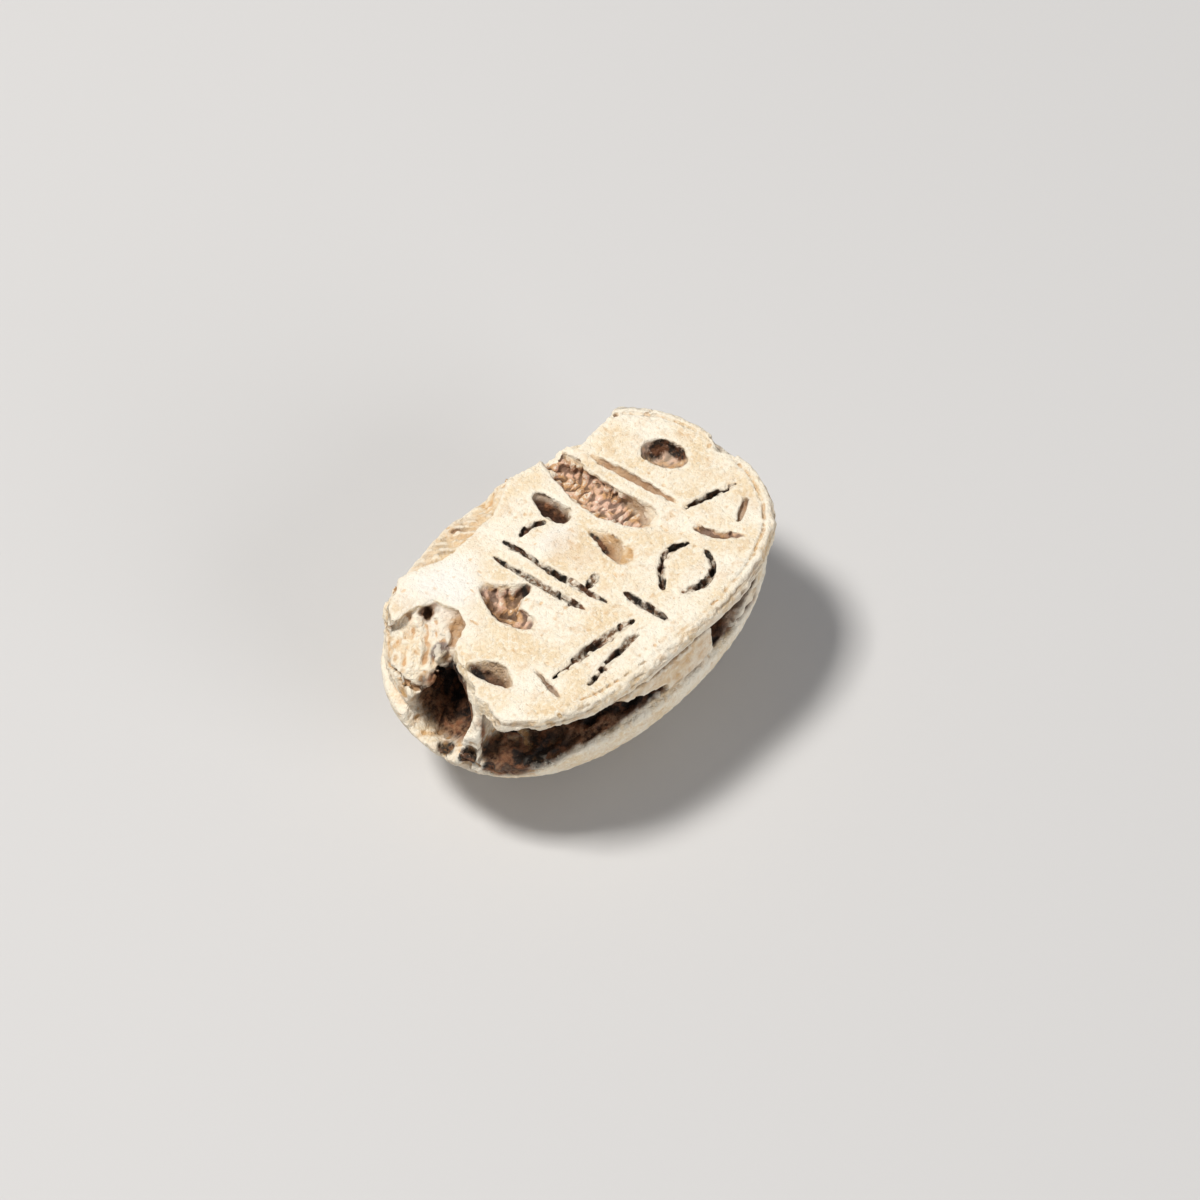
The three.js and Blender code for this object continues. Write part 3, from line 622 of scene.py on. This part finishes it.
def steatite():
    """Cream stone, ivory on its crests from wear and painted highlight, with earth and dark residue in its
    cuts, and painted shade darkening its cuts, recesses, hollow corners and bore.
    """
    paint = Paint("steatite")
    shade, crest, cut = paint.value("shade"), paint.value("crest"), paint.value("cut")
    cloud = paint.noise(1.8)
    mottle = paint.noise(0.45, 4.0)
    fleck = paint.noise(0.15, 3.0, 0.6)
    dust = paint.noise(0.07, 2.0)

    colour = paint.mix(cloud.between(0.36, 0.64), CREAM, IVORY)
    colour = paint.mix(mottle.between(0.48, 0.72) * 0.34, colour, OCHRE)
    colour = paint.mix(fleck.between(0.52, 0.7) * 0.2, colour, OCHRE)
    colour = paint.mix(fleck.between(0.52, 0.32) * 0.8, colour, IVORY)
    # Whitish patches on upward faces: partly chalky stone, partly painted highlight.
    colour = paint.mix(paint.value("chalk_and_highlight") * (0.5 + 0.5 * cloud), colour, CHALK_AND_HIGHLIGHT)

    beds = paint.noise(0.5, 3.0, 0.6, paint.stretched((0.25, 0.25, 3.0)))
    colour = paint.mix(paint.value("beds") * beds.between(0.48, 0.64) * 0.6, colour, UMBER)
    broken = paint.value("broken")
    colour = paint.mix(broken * mottle.between(0.5, 0.72) * 0.5, colour, OCHRE)
    colour = paint.mix(broken * crest.between(0.35, 0.05) * 0.8, colour, GOLD)

    stained = paint.value("ochre") * (0.4 + 0.9 * mottle.between(0.35, 0.7))
    colour = paint.mix(stained.kept() * 0.8, colour, OCHRE)
    patches = paint.noise(0.7, 2.0)
    rosy = paint.mix(patches.between(0.4, 0.6), GOLD, BLUSH)
    # On the rosy floors, ivory on the ridge crests is partly wear and partly painted highlight; umber
    # between the ridges is partly earth and partly painted shade.
    rosy = paint.mix(crest.between(0.58, 0.8) * fleck.between(0.4, 0.6) * 0.8, rosy, IVORY)
    rosy = paint.mix(crest.between(0.5, 0.1) * 0.8, rosy, UMBER)
    colour = paint.mix((paint.value("pink") * (0.75 + 0.5 * mottle)).kept() * 0.95, colour, rosy)
    # The brown of the recesses, the bore and the stained floors keeps its own hue; umber in its hollows,
    # rust on its crests and lighter where the stone is more open are painted shade and painted light.
    brown_shaded = paint.mix(crest.between(0.3, 0.7) * mottle.between(0.3, 0.6), UMBER, RUST)
    painted_light = shade.between(0.8, 0.35) * fleck.between(0.38, 0.62)
    brown_shaded = paint.mix(painted_light * 0.6, brown_shaded, EARTH)
    colour = paint.mix((paint.value("brown") * (0.8 + 0.5 * mottle)).kept(), colour, brown_shaded)
    # Umber in the cracks and hair lines, and as painted shade along the grooves under the base plate and
    # above the wing cases.
    colour = paint.mix((paint.value("line") * (0.5 + 0.7 * mottle)).kept(), colour, UMBER)
    colour = paint.mix(paint.value("slate") * 0.85, colour, SLATE)

    bare = (1 - paint.value("pink").most(paint.value("brown")).most(paint.value("soot_and_shade"))).kept()
    # Earth in the bare cuts, laid on heavier where the stone is less open: partly earth, partly painted
    # shade.
    cut_earth_and_shade = cut * bare * shade.between(0.2, 0.6) * (1 - 0.6 * broken)
    colour = paint.mix(cut_earth_and_shade * (0.5 + 0.6 * mottle), colour, EARTH)
    # Near-black with rust-brown patches: over the residue in the strokes, and as painted shade in corners,
    # pits, the bore and the recesses.
    soot_and_shade = (paint.value("soot_and_shade") * (0.7 + 1.2 * fleck.between(0.3, 0.5))).kept()
    black = paint.mix(mottle.between(0.46, 0.62) * 0.6, SOOT_AND_SHADE_BLACK, RUST)
    colour = paint.mix(soot_and_shade * 0.97, colour, black)
    crumb = paint.mix(fleck.between(0.4, 0.62), EARTH, IVORY)
    colour = paint.mix(paint.value("crumb") * 0.85, colour, crumb)
    # Ivory on the crests of the bare stone: partly wear, partly painted highlight along the edges.
    colour = paint.mix(bare * crest.between(0.56, 0.85) * 0.6, colour, IVORY)
    lodged = crest.between(0.44, 0.2) * mottle.between(0.38, 0.58)
    colour = paint.mix(bare * lodged * (1 - cut) * 0.6, colour, OCHRE)

    height = 0.7 * mottle + 0.7 * fleck + 0.35 * dust
    grain = {"Strength": 1.0, "Distance": GRAIN_HEIGHT * MM, "Height": height}
    bump = paint.node("ShaderNodeBump", {}, grain, "Normal")
    rough = 0.62 + 0.25 * mottle - 0.12 * crest.between(0.5, 0.8)
    return paint.finish(Base_Color=colour, Roughness=rough, Normal=bump, Specular_IOR_Level=0.35)


# ---- The amulet
def make_scarab():
    """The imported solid's place taken by its fine, worn and stained copy."""
    stone = Stone(fine_copy(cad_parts["scarab"]))
    sculpt(stone)
    triangles = sum(len(face.vertices) - 2 for face in stone.mesh.polygons)
    stone = Stone(modified(stone.mesh, "DECIMATE", ratio=min(MOST_TRIANGLES / triangles, 1)))
    describe(stone)
    stone.points = (stone.points + FACE_MIDDLE) * MM
    stone.points[:, 2] = np.maximum(stone.points[:, 2], 0)  # nothing below the ground
    stone.store()
    stone.mesh.name = "scarab_stone"
    stone.mesh.polygons.foreach_set("use_smooth", [True] * len(stone.mesh.polygons))
    stone.mesh.materials.clear()
    stone.mesh.materials.append(steatite())
    piece = bpy.data.objects.new("scarab_stone", stone.mesh)
    bpy.context.scene.collection.objects.link(piece)
    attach(piece, "root")
    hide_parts("scarab")


# ---- The studio
TURN, TILT = math.radians(46.4), math.radians(54.0)
RIGHT = Vector((math.cos(TURN), -math.sin(TURN), 0))
BACK = Vector((-math.sin(TURN) * math.cos(TILT), -math.cos(TURN) * math.cos(TILT), math.sin(TILT)))
UP = BACK.cross(RIGHT)
HALF_FIELD = math.radians(8.0)
SENSOR = 36
CAMERA_DISTANCE = 160.5
AIM_RIGHT, AIM_UP = 0.786, -1.475  # where the camera looks, from the middle of the face


def make_floor():
    shape = bmesh.new()
    bmesh.ops.create_circle(shape, cap_ends=True, segments=64, radius=4.0)
    mesh = bpy.data.meshes.new("floor")
    shape.to_mesh(mesh)
    shape.free()
    paint = Paint("floor")
    mesh.materials.append(paint.finish(Base_Color=(0.58, 0.57, 0.56, 1), Roughness=0.9))
    floor = bpy.data.objects.new("floor", mesh)
    bpy.context.scene.collection.objects.link(floor)


def make_light(name, towards, distance, size, power, colour):
    """A square softbox that points at the amulet, in millimetres."""
    lamp = bpy.data.lights.new(name, "AREA")
    lamp.shape = "SQUARE"
    lamp.size = size * MM
    lamp.energy = power
    lamp.color = colour
    holder = bpy.data.objects.new(name, lamp)
    towards = towards.normalized()
    holder.location = towards * distance * MM
    holder.rotation_mode = "QUATERNION"
    holder.rotation_quaternion = towards.to_track_quat("Z", "Y")
    holder.visible_camera = False
    bpy.context.scene.collection.objects.link(holder)


def make_studio():
    make_floor()
    make_light("key", -0.4 * RIGHT + 0.55 * UP + 0.7 * BACK, 400, 80, 1.62, (1.0, 0.98, 0.95))
    make_light("fill", 0.9 * RIGHT - 0.3 * UP + 0.8 * BACK, 500, 300, 1.0, (0.97, 0.98, 1.0))
    world = bpy.data.worlds.new("studio")
    world.use_nodes = True
    world.node_tree.nodes["Background"].inputs["Color"].default_value = (0.9, 0.93, 1.0, 1)
    world.node_tree.nodes["Background"].inputs["Strength"].default_value = 0.22
    bpy.context.scene.world = world
    bpy.context.scene.view_settings.view_transform = "Standard"


def make_camera():
    camera = bpy.data.objects.new("camera", bpy.data.cameras.new("camera"))
    camera.data.sensor_width = SENSOR
    camera.data.lens = SENSOR / 2 / math.tan(HALF_FIELD)
    camera.data.clip_start = 0.005
    camera.data.clip_end = 10
    aim = Vector(FACE_MIDDLE) + AIM_RIGHT * RIGHT + AIM_UP * UP
    camera.location = (aim + BACK * CAMERA_DISTANCE) * MM
    camera.rotation_mode = "QUATERNION"
    camera.rotation_quaternion = Matrix((RIGHT, UP, BACK)).transposed().to_quaternion()
    bpy.context.scene.collection.objects.link(camera)
    bpy.context.scene.camera = camera


make_camera()
make_scarab()
make_studio()
